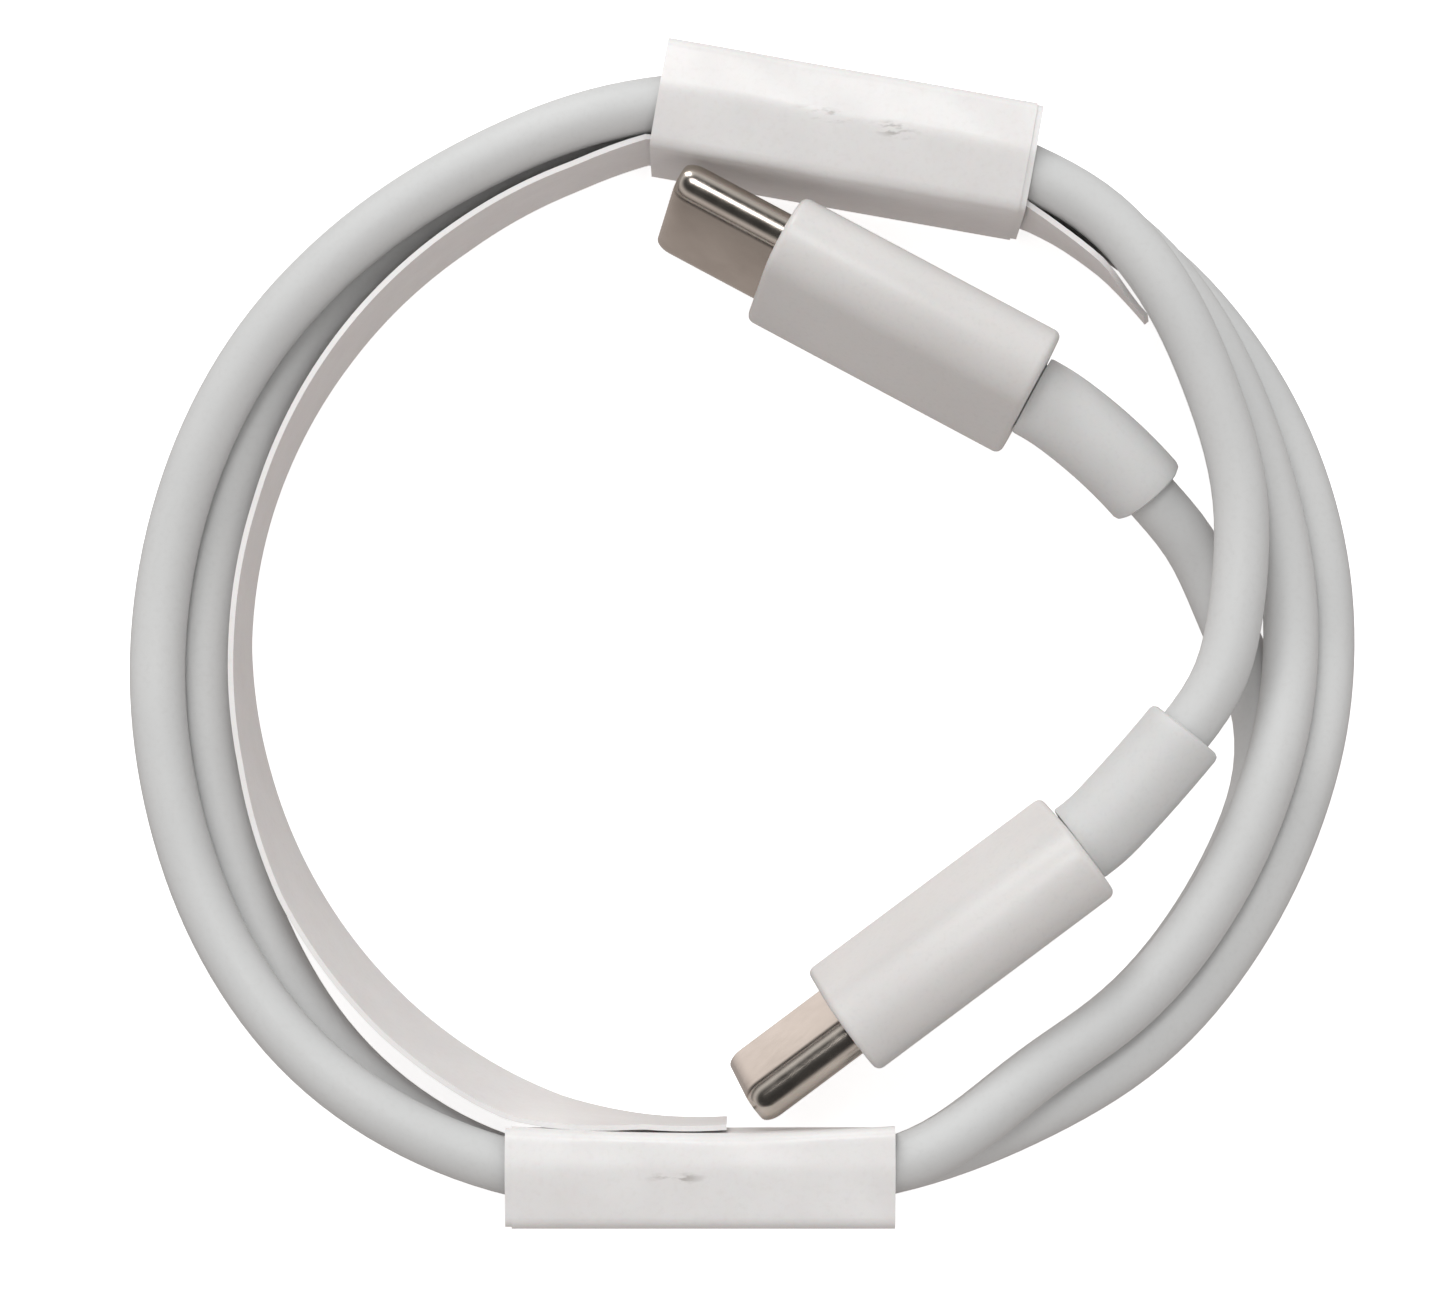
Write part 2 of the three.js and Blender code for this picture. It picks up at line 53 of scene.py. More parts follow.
RING_CENTRE = (1.4, -0.2)
CORD_DIAMETER = 3.1
FLOOR_HEIGHT = 1.95  # the centre of a turn that lies on the surface

# The ring's outline: its radius every 15 degrees, clockwise from +X as seen from above. The other angles
# round the ring, in LEFT, RIGHT, SLIP, LAST_ANGLE, FLAP_END, TUCK_END and STRIP, are counted the same way.
RING_RADII = [
    33.0, 32.5, 32.2, 31.9, 31.0, 30.6, 30.4, 31.5, 32.9, 33.8, 33.8, 33.4,
    33.0, 32.5, 31.9, 31.1, 30.5, 30.4, 30.1, 29.9, 30.5, 31.9, 32.6, 33.0,
]  # fmt: skip
# How far the inner strand lies inside the outline on the left and on the right, and the angles in degrees
# at which it starts to leave it, is fully inside, starts to come back and is back on it.
LEFT_INSET, LEFT = 2.4, (108, 160, 180, 248)
RIGHT_INSET, RIGHT = 2.3, (-58, -10, 52, 75)
SLIP = (0, 14)  # the angles over which the second turn climbs onto the first
LAST_ANGLE = 296  # where the upper end leaves the turns, on the third time round

# The two ends of the cord, from behind each strain relief to the ring, relative to the ring's middle.
TAIL_A = [
    (25.2, 5.9, 2.8),
    (26.0, 4.2, 2.25),
    (26.8, 2.3, 1.98),
    (27.7, 0.1, 1.95),
    (28.6, -2.1, 1.95),
    (29.25, -4.3, 1.95),
]
TAIL_B = [
    (26.3, -2.9, 7.1),
    (26.95, -0.7, 6.95),
    (27.4, 1.8, 6.8),
    (27.65, 4.6, 6.75),
    (27.7, 7.4, 6.85),
    (27.1, 10.6, 7.1),
    (26.0, 13.8, 7.5),
    (24.3, 17.8, 8.0),
    (22.0, 21.4, 8.2),
    (19.2, 24.2, 8.15),
]

# Where each plug lies: the middle of its housing's back end from the ring's middle, how it is turned,
# and how far its strain relief bends sideways and down, all angles in degrees. kink_share is how much of
# the bend lies close behind the housing.
PLUGS = {
    "a": {
        "rear": (16.0, 13.8, 5.2),
        "yaw": 151.6,
        "pitch": 0,
        "roll": -71,
        "turn_level": 18.5,
        "turn_down": 15,
        "kink_share": 0.2,
    },
    "b": {
        "rear": (18.4, -11.7, 6.3),
        "yaw": 216.6,
        "pitch": 4,
        "roll": 71,
        "turn_level": -14,
        "turn_down": -2,
        "kink_share": 0.6,
    },
}

HOUSING_LENGTH, HOUSING_WIDTH, HOUSING_HEIGHT = 16.4, 10.4, 5.2
SHELL_WIDTH, SHELL_HEIGHT, SHELL_WALL = 8.25, 2.4, 0.17
SHELL_EXPOSED, SHELL_BURIED = 6.65, 4.0
RELIEF_LENGTH, RELIEF_DIAMETER, RELIEF_BORE = 8.8, 4.7, 3.24
RELIEF_NECK = 3.8  # a strain relief's diameter inside the housing
RELIEF_BURIED, CORD_BURIED = 1.2, 1.2  # how far a relief reaches into its housing, and the cord into it
RELIEF_KINK = (0.3, 2.5)  # where a strain relief turns most, behind the housing
JOINT_REACH = CORD_DIAMETER / 2 + 0.3  # from a strain relief's end to the point about which it swings
END_A, END_B = 52, 50  # the lengths of the cord's two end pieces

PAPER = 0.3  # the strip's thickness
SLEEVE_LENGTH, SLEEVE_HEIGHT, SLEEVE_CORNER = 21.3, 10.1, 0.6
SLEEVE_CROWN = 0.3  # how far the fold along a sleeve's top stands above its plain height
PLY, PLY_REACH = 0.1, 0.35  # a sleeve's two layers, and how far the inner one shows at one end
# A sleeve runs at turn degrees to +X. Its middle lies at distance from the ring's middle, and shift along.
# ridge is the line of the soft fold along its top, from its middle outwards; the top falls away from it
# inwards and outwards. waist is how far the inner wall is drawn in at the middle of its length.
SLEEVES = {
    "top": {
        "width": 6.15,
        "distance": 28.9,
        "shift": 0.45,
        "turn": -10.2,
        "ridge": 0.35,
        "fall_in": 0.33,
        "fall_out": 0.07,
        "waist": 0.0,
    },
    "bottom": {
        "width": 5.6,
        "distance": 30.1,
        "shift": 2.6,
        "turn": 180.0,
        "ridge": -0.65,
        "fall_in": 0.06,
        "fall_out": 0.22,
        "waist": 0.4,
    },
}
# Grey rubbed marks on the sleeves: which one, how far along and across its top, and how long and wide.
SCUFFS = [
    ("top", -1.3, 0.2, 2.2, 0.5),
    ("top", 2.7, 0.05, 1.7, 0.6),
    ("top", 8.2, 0.2, 0.5, 0.3),
    ("bottom", 1.3, 0.05, 1.9, 0.4),
]

STRIP_BOTTOM, STRIP_TOP = 1.2, 8.6  # the heights of the strip's two edges
FLAP_RISE, FLAP_END = 0.9, (106, 120)  # the strip's first end climbs the bottom sleeve's side
TUCK, TUCK_END = 2.7, (313, 320)  # and its last end goes down under the upper strand
# The strip's course: the angle, and the radius of its lower and of its upper edge.
STRIP = [
    (92.4, 26.85, 27.4),
    (102, 27.3, 27.95),
    (112, 27.7, 29.4),
    (116, 27.75, 29.9),
    (120, 27.8, 30.0),
    (132, 27.9, 30.0),
    (150, 28.0, 29.7),
    (165, 28.1, 29.0),
    (180, 28.3, 28.6),
    (195, 28.2, 28.3),
    (215, 28.0, 28.2),
    (235, 27.9, 28.1),
    (250, 28.1, 28.1),
    (258.5, 28.45, 28.45),
    (264.5, 27.5, 27.5),
    (270.5, 26.85, 26.85),
    (280, 26.4, 26.4),
    (290, 26.8, 26.8),
    (296, 27.6, 27.6),
    (302, 28.75, 28.75),
    (304.5, 29.0, 28.7),
    (308, 29.25, 28.7),
    (314, 29.5, 28.8),
    (321, 29.5, 28.9),
]

# ---------- small tools ----------


def smoothstep(x, low, high):
    """0 up to low, 1 from high on, and a smooth way between."""
    t = min(max((x - low) / (high - low), 0), 1)
    return t * t * (3 - 2 * t)


def bump(angle, stops):
    """0, then 1 between the second and third of four angles, then 0 again."""
    start, full, fading, end = stops
    return smoothstep(angle, start, full) * (1 - smoothstep(angle, fading, end))


def lerp(a, b, t):
    return a + (b - a) * t


def placed(x, y, z):
    """A point given from the ring's middle, in millimetres, as a point in the frame."""
    return Vector(((x + RING_CENTRE[0]) * MM, (y + RING_CENTRE[1]) * MM, z * MM))


def polar(angle, radius, z):
    """A point of the frame at a clockwise angle in degrees and a radius round the ring's middle."""
    a = math.radians(angle)
    return placed(radius * math.cos(a), -radius * math.sin(a), z)


def smooth_curve(points, spacing):
    """A centripetal Catmull-Rom curve through the points, sampled at about equal steps."""
    ends = [2 * points[0] - points[1], *points, 2 * points[-1] - points[-2]]
    fine = []
    for p0, p1, p2, p3 in zip(ends, ends[1:], ends[2:], ends[3:]):
        t1 = math.sqrt((p1 - p0).length)
        t2 = t1 + math.sqrt((p2 - p1).length)
        t3 = t2 + math.sqrt((p3 - p2).length)
        steps = max(2, round((p2 - p1).length / (spacing / 6)))
        for i in range(steps):
            t = lerp(t1, t2, i / steps)
            a1 = p0.lerp(p1, t / t1)
            a2 = p1.lerp(p2, (t - t1) / (t2 - t1))
            a3 = p2.lerp(p3, (t - t2) / (t3 - t2))
            b1 = a1.lerp(a2, t / t2)
            b2 = a2.lerp(a3, (t - t1) / (t3 - t1))
            fine.append(b1.lerp(b2, (t - t1) / (t2 - t1)))
    fine.append(points[-1].copy())
    return resampled(fine, spacing)


def length_of(points):
    return sum((b - a).length for a, b in zip(points, points[1:]))


def resampled(points, spacing):
    """The same line with its points at equal steps of about the given spacing."""
    total = length_of(points)
    count = max(2, round(total / spacing))
    step = total / count
    made, walked, want = [points[0].copy()], 0.0, step
    for a, b in zip(points, points[1:]):
        part = (b - a).length
        while want <= walked + part and len(made) < count:
            made.append(a.lerp(b, (want - walked) / part))
            want += step
        walked += part
    made.append(points[-1].copy())
    return made


def relaxed(points, rounds):
    """The same curve with its small kinks smoothed away; its two ends stay."""
    now = [p.copy() for p in points]
    for _ in range(rounds):
        middle = [(a + 2 * b + c) / 4 for a, b, c in zip(now, now[1:], now[2:])]
        now = [now[0], *middle, now[-1]]
    return now


def mesh_object(name, vertices, faces, material, smooth_angle=40):
    """A named object in the scene, smooth except where its faces meet at more than the given degrees."""
    mesh = bpy.data.meshes.new(name)
    mesh.from_pydata([tuple(v) for v in vertices], [], faces)
    bm = bmesh.new()
    bm.from_mesh(mesh)
    bmesh.ops.remove_doubles(bm, verts=bm.verts, dist=1e-7)
    bmesh.ops.recalc_face_normals(bm, faces=bm.faces)
    bm.to_mesh(mesh)
    bm.free()
    mesh.shade_smooth()
    mesh.set_sharp_from_angle(angle=math.radians(smooth_angle))
    mesh.materials.append(material)
    obj = bpy.data.objects.new(name, mesh)
    bpy.context.collection.objects.link(obj)
    return obj


def loft(rings, closed_loop=False):
    """Vertices and faces that join equal rings of points, back to the first or with both ends capped."""
    n = len(rings[0])
    vertices = [p for ring in rings for p in ring]
    faces = []
    count = len(rings) if closed_loop else len(rings) - 1
    for j in range(count):
        a, b = j * n, ((j + 1) % len(rings)) * n
        for i in range(n):
            k = (i + 1) % n
            faces.append((a + i, a + k, b + k, b + i))
    if not closed_loop:
        faces.append(tuple(reversed(range(n))))
        faces.append(tuple(range(len(vertices) - n, len(vertices))))
    return vertices, faces


def frames_along(points):
    """A tangent and two steady side directions at each point."""
    tangents = []
    for i in range(len(points)):
        a, b = points[max(i - 1, 0)], points[min(i + 1, len(points) - 1)]
        tangents.append((b - a).normalized())
    side = tangents[0].cross(Vector((0, 0, 1))).normalized()
    made = []
    for t in tangents:
        side = (side - t * side.dot(t)).normalized()
        made.append((t, side, t.cross(side)))
    return made


def tube(name, points, radius, material, sides=24):
    """A round solid along a line of points."""
    rings = []
    for p, (_, side, up) in zip(points, frames_along(points)):
        ring = []
        for k in range(sides):
            a = 2 * math.pi * k / sides
            ring.append(p + radius * (math.cos(a) * side + math.sin(a) * up))
        rings.append(ring)
    return mesh_object(name, *loft(rings), material, smooth_angle=60)


def sleeve_frame(place):
    """A sleeve's two level directions: along it, and outwards from the ring's middle."""
    turn = math.radians(place["turn"])
    return Vector((math.cos(turn), math.sin(turn), 0)), Vector((-math.sin(turn), math.cos(turn), 0))


def sleeve_point(place, along, across, height):
    """A point given along and across a sleeve, in millimetres, as a point in the frame."""
    forward, outward = sleeve_frame(place)
    level = forward * (place["shift"] + along) + outward * (place["distance"] + across)
    return placed(level.x, level.y, height)


# ---------- materials ----------


class Nodes:
    """A short way to build a node material."""

    def __init__(self, name):
        self.material = bpy.data.materials.new(name)
        self.material.use_nodes = True
        self.tree = self.material.node_tree
        self.shader = self.tree.nodes["Principled BSDF"]

    def add(self, kind, **values):
        node = self.tree.nodes.new(kind)
        for key, value in values.items():
            if key in node.inputs:
                node.inputs[key].default_value = value
            else:
                setattr(node, key, value)
        return node

    def link(self, source, target):
        self.tree.links.new(source, target)

    def feed(self, source, name):
        """Links a value to one of the shader's own inputs."""
        self.link(source, self.shader.inputs[name])

    def noise(self, scale, detail=3.0, roughness=0.5, stretch=(1, 1, 1)):
        place = self.add("ShaderNodeTexCoord")
        mapping = self.add("ShaderNodeMapping")
        mapping.inputs["Scale"].default_value = stretch
        noise = self.add("ShaderNodeTexNoise", Scale=scale, Detail=detail, Roughness=roughness)
        self.link(place.outputs["Object"], mapping.inputs["Vector"])
        self.link(mapping.outputs["Vector"], noise.inputs["Vector"])
        return noise.outputs["Fac"]

    def ramp(self, value, stops):
        ramp = self.add("ShaderNodeValToRGB")
        elements = ramp.color_ramp.elements
        while len(elements) < len(stops):
            elements.new(0.5)
        for element, (position, color) in zip(elements, stops):
            element.position = position
            element.color = (*color, 1)
        self.link(value, ramp.inputs["Fac"])
        return ramp.outputs["Color"]

    def span(self, value, low, high, to_low=0.0, to_high=1.0):
        node = self.add("ShaderNodeMapRange")
        node.inputs["From Min"].default_value = low
        node.inputs["From Max"].default_value = high
        node.inputs["To Min"].default_value = to_low
        node.inputs["To Max"].default_value = to_high
        self.link(value, node.inputs["Value"])
        return node.outputs["Result"]

    def multiply(self, a, b):
        node = self.add("ShaderNodeMath", operation="MULTIPLY")
        self.link(a, node.inputs[0])
        self.link(b, node.inputs[1])
        return node.outputs[0]

    def blend_color(self, base, color, share):
        """The base colour with another laid over it by the given share."""
        node = self.add("ShaderNodeMix", data_type="RGBA")
        self.link(share, node.inputs["Factor"])
        self.link(base, node.inputs["A"])
        node.inputs["B"].default_value = (*color, 1)
        return node.outputs["Result"]

    def near(self, point, turn, size):
        """1 at a point of the frame, falling to 0 over the given sizes in millimetres."""
        place = self.add("ShaderNodeTexCoord")
        mapping = self.add("ShaderNodeMapping", vector_type="TEXTURE")
        mapping.inputs["Location"].default_value = point
        mapping.inputs["Rotation"].default_value = (0, 0, math.radians(turn))
        mapping.inputs["Scale"].default_value = [v * MM for v in size]
        gradient = self.add("ShaderNodeTexGradient", gradient_type="SPHERICAL")
        self.link(place.outputs["Object"], mapping.inputs["Vector"])
        self.link(mapping.outputs["Vector"], gradient.inputs["Vector"])
        return gradient.outputs["Fac"]

    def bump(self, layers):
        """layers: (height, distance in metres, strength), the first one lowest."""
        normal = None
        for height, distance, strength in layers:
            node = self.add("ShaderNodeBump", Strength=strength, Distance=distance)
            self.link(height, node.inputs["Height"])
            if normal:
                self.link(normal, node.inputs["Normal"])
            normal = node.outputs["Normal"]
        self.feed(normal, "Normal")

    def set(self, **values):
        for key, value in values.items():
            self.shader.inputs[key.replace("_", " ")].default_value = value


def jacket_material():
    """Matt light grey-white thermoplastic with a fine moulded grain and slight handling marks."""
    m = Nodes("jacket")
    grain = m.noise(3200, 3)
    tint = m.blend_color(
        m.ramp(m.noise(90, 2), [(0.3, (0.60, 0.602, 0.60)), (0.7, (0.64, 0.64, 0.636))]),
        (0.55, 0.546, 0.538),
        m.span(grain, 0.5, 0.85, 0, 0.35),
    )
    m.feed(tint, "Base Color")
    m.feed(m.span(m.noise(900, 3), 0.3, 0.7, 0.46, 0.6), "Roughness")
    m.bump([(m.noise(260, 2), 0.00004, 0.25), (grain, 0.000006, 0.25)])
    m.set(Subsurface_Weight=0.12, Subsurface_Scale=0.0006, Subsurface_Radius=(1.0, 0.95, 0.9))
    m.set(Specular_IOR_Level=0.45)
    return m.material


def plastic_material(name, low, high, roughness, coat=0.0):
    """Moulded plastic: cloudy tint, a faint speckle, and roughness that changes where it was handled."""
    m = Nodes(name)
    grain = m.noise(3600, 3)
    speckle = tuple(0.86 * c for c in low)
    tint = m.blend_color(
        m.ramp(m.noise(120, 2), [(0.3, low), (0.7, high)]),
        speckle,
        m.span(grain, 0.52, 0.85, 0, 0.35),
    )
    m.feed(tint, "Base Color")
    m.feed(m.span(m.noise(700, 3), 0.3, 0.7, roughness - 0.04, roughness + 0.06), "Roughness")
    m.bump([(m.noise(300, 2), 0.00002, 0.15), (grain, 0.000003, 0.2)])
    m.set(Coat_Weight=coat, Coat_Roughness=0.25, Subsurface_Weight=0.1, Subsurface_Scale=0.0006)
    return m.material


def paper_material():
    """Coated white paper: faint warm tint, fine fibre grain, soft waviness and the sleeves' grey scuffs."""
    pale, grey = (0.70, 0.66, 0.64), (0.42, 0.39, 0.37)
    scuff_depth = 3
    m = Nodes("paper")
    fibres = m.noise(3000, 4, 0.6)
    color = m.ramp(m.noise(300, 4), [(0.3, (0.79, 0.765, 0.757)), (0.7, (0.835, 0.815, 0.808))])
    color = m.blend_color(color, pale, m.span(fibres, 0.5, 0.85, 0, 0.35))
    for sleeve, along, across, long, wide in SCUFFS:
        place = SLEEVES[sleeve]
        middle = sleeve_point(place, along, across, SLEEVE_HEIGHT)
        patch = m.near(middle, place["turn"], (long, wide, scuff_depth))
        streaks = m.noise(1500, 4, 0.6, stretch=(0.45, 1.5, 1))
        rubbed = m.multiply(m.span(patch, 0.05, 0.6), m.span(streaks, 0.5, 0.62))
        color = m.blend_color(color, grey, m.multiply(rubbed, m.span(patch, 0, 1, 0.5, 0.8)))
    m.feed(color, "Base Color")
    m.feed(m.span(m.noise(700, 3), 0.3, 0.7, 0.36, 0.48), "Roughness")
    m.bump([(m.noise(160, 2), 0.00010, 0.3), (fibres, 0.000008, 0.3)])
    m.set(Coat_Weight=0.35, Coat_Roughness=0.2, Subsurface_Weight=0.08, Subsurface_Scale=0.0004)
    return m.material


def metal_material(name, dark, light, roughness):
    """Plated sheet: a little cloudiness in tint and roughness, and the faint grain of drawn metal."""
    m = Nodes(name)
    m.feed(m.ramp(m.noise(350, 3), [(0.3, dark), (0.7, light)]), "Base Color")
    m.feed(m.span(m.noise(1200, 4), 0.25, 0.75, roughness - 0.04, roughness + 0.06), "Roughness")
    m.bump([(m.noise(2600, 3), 0.000002, 0.3)])
    m.set(Metallic=1.0)
    return m.material


def board_material():
    """Green solder mask over a faint weave."""
    m = Nodes("circuit_board")
    speckle = m.noise(1800, 2)
    m.feed(m.ramp(speckle, [(0.45, (0.02, 0.10, 0.05)), (0.6, (0.05, 0.20, 0.10))]), "Base Color")
    m.bump([(speckle, 0.00001, 0.4)])
    m.set(Roughness=0.35, Coat_Weight=0.4)
    return m.material


JACKET = jacket_material()
HOUSING = plastic_material("housing", (0.675, 0.655, 0.643), (0.715, 0.697, 0.685), 0.40, coat=0.15)
RELIEF = plastic_material("strain_relief", (0.64, 0.638, 0.634), (0.68, 0.677, 0.672), 0.5)
PAPER_WHITE = paper_material()
SHELL_METAL = metal_material("plug_metal", (0.56, 0.50, 0.445), (0.62, 0.56, 0.50), 0.2)
INNER_METAL = metal_material("inner_metal", (0.55, 0.54, 0.52), (0.66, 0.65, 0.63), 0.3)
GOLD = metal_material("contacts", (0.70, 0.50, 0.20), (0.85, 0.66, 0.30), 0.25)
INSULATOR = plastic_material("insulator", (0.02, 0.02, 0.022), (0.035, 0.035, 0.037), 0.4)
CHIP = plastic_material("chip", (0.015, 0.015, 0.015), (0.03, 0.03, 0.03), 0.45)
BOARD = board_material()
WIRES = {
    "power": plastic_material("wire_power", (0.42, 0.02, 0.015), (0.52, 0.04, 0.03), 0.4),
    "ground": plastic_material("wire_ground", (0.012, 0.012, 0.012), (0.03, 0.03, 0.03), 0.4),
    "data_plus": plastic_material("wire_data_plus", (0.02, 0.22, 0.06), (0.04, 0.30, 0.09), 0.4),
    "data_minus": plastic_material("wire_data_minus", (0.72, 0.72, 0.71), (0.80, 0.80, 0.79), 0.4),
    "configuration": plastic_material("wire_configuration", (0.02, 0.07, 0.33), (0.04, 0.12, 0.42), 0.4),
}

# ---------- camera ----------


def add_camera():
    """Almost straight above the ring, as far off as a hand holds a phone."""
    target = Vector((0.02, -0.68, 4.0)) * MM
    elevation, distance = math.radians(84), 0.280
    back = Vector((0, -math.cos(elevation), math.sin(elevation)))
    data = bpy.data.cameras.new("camera")
    data.sensor_width = 36
    data.lens = 123.8
    data.clip_start, data.clip_end = 0.01, 10
    camera = bpy.data.objects.new("camera", data)
    camera.location = target + back * distance
    camera.rotation_mode = "QUATERNION"
    camera.rotation_quaternion = (-back).to_track_quat("-Z", "Y")
    bpy.context.collection.objects.link(camera)
    bpy.context.scene.camera = camera


# ---------- the cord ----------


def ring_radius(angle):
    """The outline's radius at an angle in degrees, on a smooth curve through RING_RADII."""
    step = 360 / len(RING_RADII)
    place = (angle % 360) / step
    at = math.floor(place)
    before, here, there, after = (RING_RADII[(at + k) % len(RING_RADII)] for k in (-1, 0, 1, 2))
    t = place - at
    slope_here, slope_there = (there - before) / 2, (after - here) / 2
    change = there - here
    square = 3 * change - 2 * slope_here - slope_there
    cube = slope_here + slope_there - 2 * change
    return here + t * (slope_here + t * (square + t * cube))


def inset(turn, angle):
    """How far a turn lies inside the outline. The second one does so twice, left and then right."""
    if turn == 1:
        return LEFT_INSET * bump(angle, LEFT) + RIGHT_INSET * bump(angle - 360, RIGHT)
    return RIGHT_INSET * bump(angle, RIGHT)


def rise(offset):
    """How much higher a strand lies than the one it rests on, when it is offset sideways."""
    return math.sqrt(max(0, CORD_DIAMETER**2 - offset**2))


def turn_height(turn, angle):
    """The height of a turn's centre, each one resting on the one before it."""
    if turn == 0:
        return FLOOR_HEIGHT
    climb = smoothstep(angle, *SLIP) if turn == 1 else 1
    return turn_height(turn - 1, angle) + climb * rise(inset(turn, angle) - inset(turn - 1, angle))


def turn_point(turn, angle):
    return polar(angle, ring_radius(angle) - inset(turn, angle), turn_height(turn, angle))


def plug_matrix(plug):
    """From a plug's own frame, +X to the tip and Z square to its wide faces, but not yet rolled."""
    yaw = Matrix.Rotation(math.radians(plug["yaw"]), 4, "Z")
    pitch = Matrix.Rotation(math.radians(plug["pitch"]), 4, "Y")
    return Matrix.Translation(placed(*plug["rear"])) @ yaw @ pitch


def rolled_matrix(plug):
    return plug_matrix(plug) @ Matrix.Rotation(math.radians(plug["roll"]), 4, "X")


def relief_line(distance, plug):
    """The strain relief's middle line behind the housing: a place, the way back and two side directions."""
    steps = 24
    total = math.radians(math.hypot(plug["turn_level"], plug["turn_down"]))
    side = Vector((0, plug["turn_level"], -plug["turn_down"])).normalized()

    def turned_by(along):
        kink = smoothstep(along, *RELIEF_KINK)
        return total * lerp(along / RELIEF_LENGTH, kink, plug["kink_share"])

    place = Vector((0, 0, 0))
    for i in range(steps):
        angle = turned_by((i + 0.5) * distance / steps)
        place += (side * math.sin(angle) - Vector((math.cos(angle), 0, 0))) * distance / steps
    angle = turned_by(distance)
    back = side * math.sin(angle) - Vector((math.cos(angle), 0, 0))
    in_plane = side * math.cos(angle) + Vector((math.sin(angle), 0, 0))
    return place, back, in_plane, side


def relief_ring(along, radius, plug, matrix, sides=40):
    """Points round the strain relief, straight inside the housing and bent behind it."""
    ring = []
    for k in range(sides):
        a = 2 * math.pi * k / sides
        offset = Vector((0, radius * math.cos(a), radius * math.sin(a)))
        if along < 0:
            place, _, in_plane, side = relief_line(-along, plug)
            across = offset.dot(side)
            point = offset + across * (in_plane - side) + place
        else:
            point = offset + Vector((along, 0, 0))
        ring.append(matrix @ (point * MM))
    return ring


def on_relief(distance, plug, beyond=0):
    """A point on the strain relief's middle line, or straight on beyond it, in the frame."""
    place, back, _, _ = relief_line(distance, plug)
    return plug_matrix(plug) @ ((place + back * beyond) * MM)


def add_cord():
    """One cord from plug to plug, in three lengths that meet inside the bundle."""
    heads = []
    for plug in PLUGS.values():
        ends = [on_relief(RELIEF_LENGTH - CORD_BURIED, plug), on_relief(RELIEF_LENGTH, plug)]
        heads.append([*ends, on_relief(RELIEF_LENGTH, plug, beyond=JOINT_REACH)])
    head = heads[0] + [placed(*p) for p in TAIL_A]
    first_angle, angle_step = SLIP[1] + 2, 4
    turns = []
    for degrees in range(first_angle, 2 * 360 + LAST_ANGLE, angle_step):
        turn, angle = divmod(degrees, 360)
        turns.append(turn_point(turn, angle))
    tail = [placed(*p) for p in reversed(TAIL_B)] + heads[1][::-1]
    spacing = 1.0 * MM
    route = relaxed(smooth_curve(head + turns + tail, spacing), rounds=6)
    first = round(END_A * MM / spacing)
    last = len(route) - round(END_B * MM / spacing)
    spans = {
        "cord_near_plug_a": (route[: first + 1], "cord_tail_a"),
        "cord_turns": (route[first : last + 1], "cord_coil"),
        "cord_near_plug_b": (route[last:], "cord_tail_b"),
    }
    pieces = {}
    for name, (points, node) in spans.items():
        piece = tube(name, points, CORD_DIAMETER / 2 * MM, JACKET)
        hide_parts(node)
        pieces[name] = (piece, points)
    return pieces


def declare_cord(pieces):
    """The turns stay with the ring. The two end pieces keep their place in the frame."""
    a, path_a = pieces["cord_near_plug_a"]
    b, path_b = pieces["cord_near_plug_b"]
    run, path_run = pieces["cord_turns"]
    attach(run, "coil_and_wrap")
    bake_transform(a)
    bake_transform(b)


# ---------- plugs ----------


def stadium_ring(x, half_width, half_height, matrix, corner_points=14):
    """Points round an oval section at x in a plug's frame."""
    radius = half_height
    straight = half_width - half_height
    ring = []
    for centre, first in ((straight, -90), (-straight, 90)):
        for k in range(corner_points + 1):
            a = math.radians(first + 180 * k / corner_points)
            y = centre + radius * math.cos(a)
            z = radius * math.sin(a)
            ring.append(matrix @ (Vector((x, y, z)) * MM))
    return ring


def fillet(x, half_width, half_height, radius, start, end, steps=5):
    """Profile rows of a rounded edge whose middle lies radius inside the given corner."""
    rows = []
    for k in range(steps + 1):
        a = math.radians(lerp(start, end, k / steps))
        out = radius * math.sin(a) - radius
        rows.append((x + radius * math.cos(a), half_width + out, half_height + out))
    return rows


def add_housing(end, plug):
    """The plug's cover: an oval hollow with rounded rims, a round hole behind and an oval mouth in front."""
    matrix = rolled_matrix(plug)
    half_width, half_height = HOUSING_WIDTH / 2, HOUSING_HEIGHT / 2
    rim, wall, clearance = 0.45, 1.4, 0.06
    hollow = (4.4, 2.0)
    hole, hole_edge = RELIEF_NECK / 2 + 0.08, 0.12
    mouth = (SHELL_WIDTH / 2 + clearance, SHELL_HEIGHT / 2 + clearance)
    mouth_edge = 0.15
    front = HOUSING_LENGTH
    rows = [(wall, hole, hole), (hole_edge, hole, hole), (0.0, hole + hole_edge, hole + hole_edge)]
    rows += fillet(rim, half_width, half_height, rim, 180, 90)
    rows += fillet(front - rim, half_width, half_height, rim, 90, 0)
    rows += [
        (front, mouth[0] + mouth_edge, mouth[1] + mouth_edge),
        (front - mouth_edge, *mouth),
        (front - wall, *mouth),
        (front - wall, *hollow),
        (wall, *hollow),
    ]
    rings = [stadium_ring(*row, matrix) for row in rows]
    piece = mesh_object(f"plug_housing_{end}", *loft(rings, closed_loop=True), HOUSING, smooth_angle=30)
    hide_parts(f"housing_{end}")
    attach(piece, f"plug_{end}")


